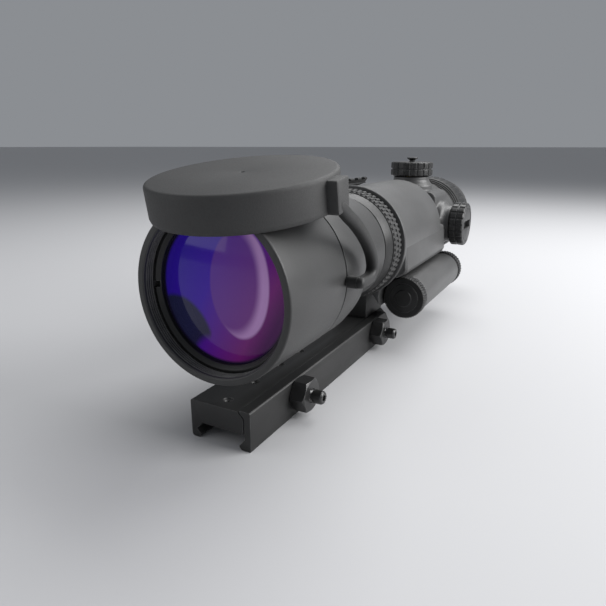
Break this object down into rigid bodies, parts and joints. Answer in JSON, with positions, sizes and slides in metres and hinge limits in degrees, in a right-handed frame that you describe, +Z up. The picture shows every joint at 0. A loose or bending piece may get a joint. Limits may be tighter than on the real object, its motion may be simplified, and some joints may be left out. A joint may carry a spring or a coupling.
{
  "type": "night vision riflescope",
  "caption": "Night-vision riflescope with an open rubber flip cap, treaded focus ring, slotted turrets, battery tube and a rail clamp mount.",
  "frame": {"origin": "middle of the mount's flat face that rests on the top of the rail", "axes": "+Y along the optical axis from the objective to the eye, +Z up from the rail, +X towards the windage turret, battery tube and clamp nuts"},
  "size_m": [0.0804, 0.3096, 0.1044],
  "materials": {
    "bell_paint": "satin dark grey paint on aluminium",
    "body_paint": "satin dark grey paint on cast aluminium",
    "black_anodised": "black anodised, satin",
    "knob_anodised": "black anodised, satin, machined flats",
    "mount_anodised": "dark grey hard anodised, fine bead blasted, lighter at the worn edges",
    "coated_glass": "blue to purple anti-reflection coating",
    "clear_glass": "clear polished glass",
    "eye_glass": "clear polished glass with a faint green coating",
    "dark_steel": "blackened steel, worn bright at the edges",
    "nut_steel": "dark machined steel, satin",
    "bright_steel": "plated spring steel",
    "brass": "machined brass",
    "tread_rubber": "moulded rubber, dull",
    "arm_rubber": "smooth black rubber",
    "cap_rubber": "matte dark grey rubber, fine grain",
    "eyecup_rubber": "soft matte black rubber",
    "matte_black_plastic": "moulded, matte",
    "board_green": "solder mask",
    "cell_wrap": "plain metallic sleeve"
  },
  "bodies": {
    "body": {"objective_housing": "bell_paint", "main_body": "body_paint", "battery_tube": "body_paint", "eyepiece_housing": "body_paint", "front_retaining_ring": "black_anodised", "lens_spacer": "black_anodised", "tube_retainer": "black_anodised", "image_tube": "black_anodised", "accessory_rail": "black_anodised", "battery_contact": "matte_black_plastic", "riser_block": "mount_anodised", "arm_pivot_right": "black_anodised", "arm_pivot_left": "black_anodised", "objective_lens_front": "coated_glass", "objective_lens_rear": "clear_glass", "field_lens": "clear_glass", "eye_lens": "eye_glass", "circuit_board": "board_green", "rail_screw_front": "dark_steel", "rail_screw_rear": "dark_steel", "battery_cell": "cell_wrap", "eyecup": "eyecup_rubber", "strap_loop_right": "arm_rubber", "strap_loop_left": "arm_rubber", "mount_base": "mount_anodised", "clamp_stud_front": "dark_steel", "clamp_stud_rear": "dark_steel", "riser_screw_front": "dark_steel", "riser_screw_rear": "dark_steel"},
    "cap_arms": {"strap_arm_right": "arm_rubber", "strap_arm_left": "arm_rubber", "cap_pin_right": "black_anodised", "cap_pin_left": "black_anodised"},
    "cap": {"lens_cap": "cap_rubber"},
    "focus_ring_body": {"focus_ring": "black_anodised", "focus_grip": "tread_rubber"},
    "focus_cell_body": {"focus_cell": "black_anodised", "focus_lens": "clear_glass", "focus_pin": "dark_steel"},
    "elevation_turret": {"elevation_knob": "knob_anodised", "elevation_spindle": "brass", "elevation_screw": "dark_steel"},
    "windage_turret": {"windage_knob": "knob_anodised", "windage_spindle": "brass", "windage_screw": "dark_steel"},
    "reticle_rise_body": {"reticle_frame": "brass"},
    "reticle_shift_body": {"reticle_carriage": "black_anodised", "reticle_glass": "clear_glass"},
    "battery_cap_carrier": {"battery_cap_seal": "tread_rubber", "battery_spring": "bright_steel"},
    "battery_cap_body": {"battery_cap": "black_anodised"},
    "power_switch": {"power_knob": "black_anodised"},
    "diopter": {"diopter_ring": "black_anodised"},
    "clamp": {"clamp_bar": "mount_anodised"},
    "nut_front": {"clamp_nut_front": "nut_steel"},
    "nut_rear": {"clamp_nut_rear": "nut_steel"}
  },
  "joints": [
    {"name": "arm_bend", "type": "hinge", "parent": "body", "child": "cap_arms", "pos_m": [0, -0.0201, 0.0558], "axis": [-1, 0, 0], "range_deg": [0, 55]},
    {"name": "cap_tilt", "type": "hinge", "parent": "cap_arms", "child": "cap", "pos_m": [0, -0.0521, 0.0826], "axis": [1, 0, 0], "range_deg": [0, 22.1]},
    {"name": "focus_travel", "type": "slide", "parent": "body", "child": "focus_cell_body", "axis": [0, 1, 0], "range_m": [0, 0.003]},
    {"name": "focus_turn", "type": "hinge", "parent": "body", "child": "focus_ring_body", "pos_m": [0, 0.0355, 0.0516], "axis": [0, 1, 0], "range_deg": [0, 270.5]},
    {"name": "reticle_rise", "type": "slide", "parent": "body", "child": "reticle_rise_body", "axis": [0, 0, 1], "range_m": [-0.0012, 0.0012]},
    {"name": "elevation_turn", "type": "hinge", "parent": "body", "child": "elevation_turret", "pos_m": [0, 0.146, 0.0516], "axis": [0, 0, 1], "range_deg": [-180.5, 180.5]},
    {"name": "windage_turn", "type": "hinge", "parent": "body", "child": "windage_turret", "pos_m": [0, 0.146, 0.0516], "axis": [1, 0, 0], "range_deg": [-180.5, 180.5]},
    {"name": "reticle_shift", "type": "slide", "parent": "reticle_rise_body", "child": "reticle_shift_body", "axis": [1, 0, 0], "range_m": [-0.0012, 0.0012]},
    {"name": "battery_cap_travel", "type": "slide", "parent": "body", "child": "battery_cap_carrier", "axis": [0, -1, 0], "range_m": [0, 0.005]},
    {"name": "battery_cap_turn", "type": "hinge", "parent": "battery_cap_carrier", "child": "battery_cap_body", "pos_m": [0.0278, 0.0575, 0.0221], "axis": [0, -1, 0], "range_deg": [0, 1441]},
    {"name": "power_turn", "type": "hinge", "parent": "body", "child": "power_switch", "pos_m": [0.0278, 0.1395, 0.0221], "axis": [0, -1, 0], "range_deg": [0, 90]},
    {"name": "diopter_turn", "type": "hinge", "parent": "body", "child": "diopter", "pos_m": [0, 0.1915, 0.0516], "axis": [0, 1, 0], "range_deg": [-150, 150]},
    {"name": "clamp_slide", "type": "slide", "parent": "body", "child": "clamp", "axis": [1, 0, 0], "range_m": [0, 0.0025]},
    {"name": "nut_front_turn", "type": "hinge", "parent": "clamp", "child": "nut_front", "pos_m": [0.0176, -0.039, 0.0032], "axis": [1, 0, 0], "range_deg": [0, 1126]},
    {"name": "nut_rear_turn", "type": "hinge", "parent": "clamp", "child": "nut_rear", "pos_m": [0.0176, 0.0485, 0.0032], "axis": [1, 0, 0], "range_deg": [0, 1126]}
  ],
  "couplings": [
    {"joint": "cap_tilt", "follows": "arm_bend", "ratio": 0.4},
    {"joint": "focus_turn", "follows": "focus_travel", "rad_per_m": 1570.8},
    {"joint": "elevation_turn", "follows": "reticle_rise", "rad_per_m": 2618},
    {"joint": "windage_turn", "follows": "reticle_shift", "rad_per_m": 2618},
    {"joint": "battery_cap_turn", "follows": "battery_cap_travel", "rad_per_m": 5026.5},
    {"joint": "nut_front_turn", "follows": "clamp_slide", "rad_per_m": 7854},
    {"joint": "nut_rear_turn", "follows": "clamp_slide", "rad_per_m": 7854}
  ]
}
